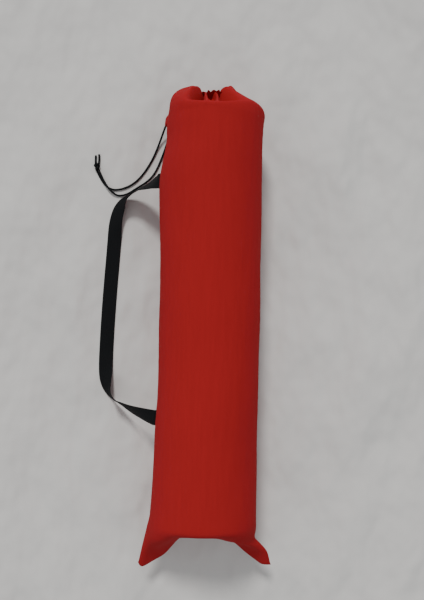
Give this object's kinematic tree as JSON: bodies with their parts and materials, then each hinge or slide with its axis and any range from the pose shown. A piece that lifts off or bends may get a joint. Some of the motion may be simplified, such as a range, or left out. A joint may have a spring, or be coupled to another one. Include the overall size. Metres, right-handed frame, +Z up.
{
  "type": "drawstring tube bag",
  "caption": "Long red cloth bag, gathered on a black drawstring at one end, with a black webbing strap on its side and a rolled foam mat packed inside.",
  "frame": {"origin": "middle of the flat patch that the packed bag rests on, on the floor", "axes": "+Y along the bag to its gathered mouth, +Z up, +X away from the shoulder strap"},
  "size_m": [0.3188, 0.7934, 0.1635],
  "materials": {
    "front_cloth": "plain weave, matt, slightly creased",
    "back_cloth": "plain weave, matt",
    "mat_foam": "closed-cell foam, smooth skin",
    "hem_cloth": "plain weave, tightly gathered",
    "red_thread": "polyester sewing thread",
    "webbing": "flat woven polyester webbing",
    "black_thread": "polyester sewing thread",
    "cord_braid": "braided polyester, dull"
  },
  "bodies": {
    "bag": {"front_panel": "front_cloth", "back_panel": "back_cloth", "rolled_mat": "mat_foam", "mouth_hem": "hem_cloth", "hem_thread": "red_thread", "left_seam_thread": "red_thread", "right_seam_thread": "red_thread", "bottom_seam_thread": "red_thread", "drawstring_loop": "cord_braid", "strap_end_upper": "webbing", "strap_end_lower": "webbing", "strap_tack_upper": "black_thread", "strap_tack_lower": "black_thread"},
    "strap": {"shoulder_strap": "webbing"},
    "drawstring_tails": {"cord_tail_front": "cord_braid", "cord_tail_back": "cord_braid", "cord_knot": "cord_braid", "cord_end_front": "cord_braid", "cord_end_back": "cord_braid"}
  },
  "joints": [
    {"name": "strap_swing", "type": "hinge", "parent": "bag", "child": "strap", "pos_m": [-0.0852, 0, 0.0805], "axis": [0, 1, 0], "range_deg": [0, 100]},
    {"name": "drawstring_pull", "type": "slide", "parent": "bag", "child": "drawstring_tails", "axis": [0, 1, 0], "range_m": [0, 0.012]}
  ]
}
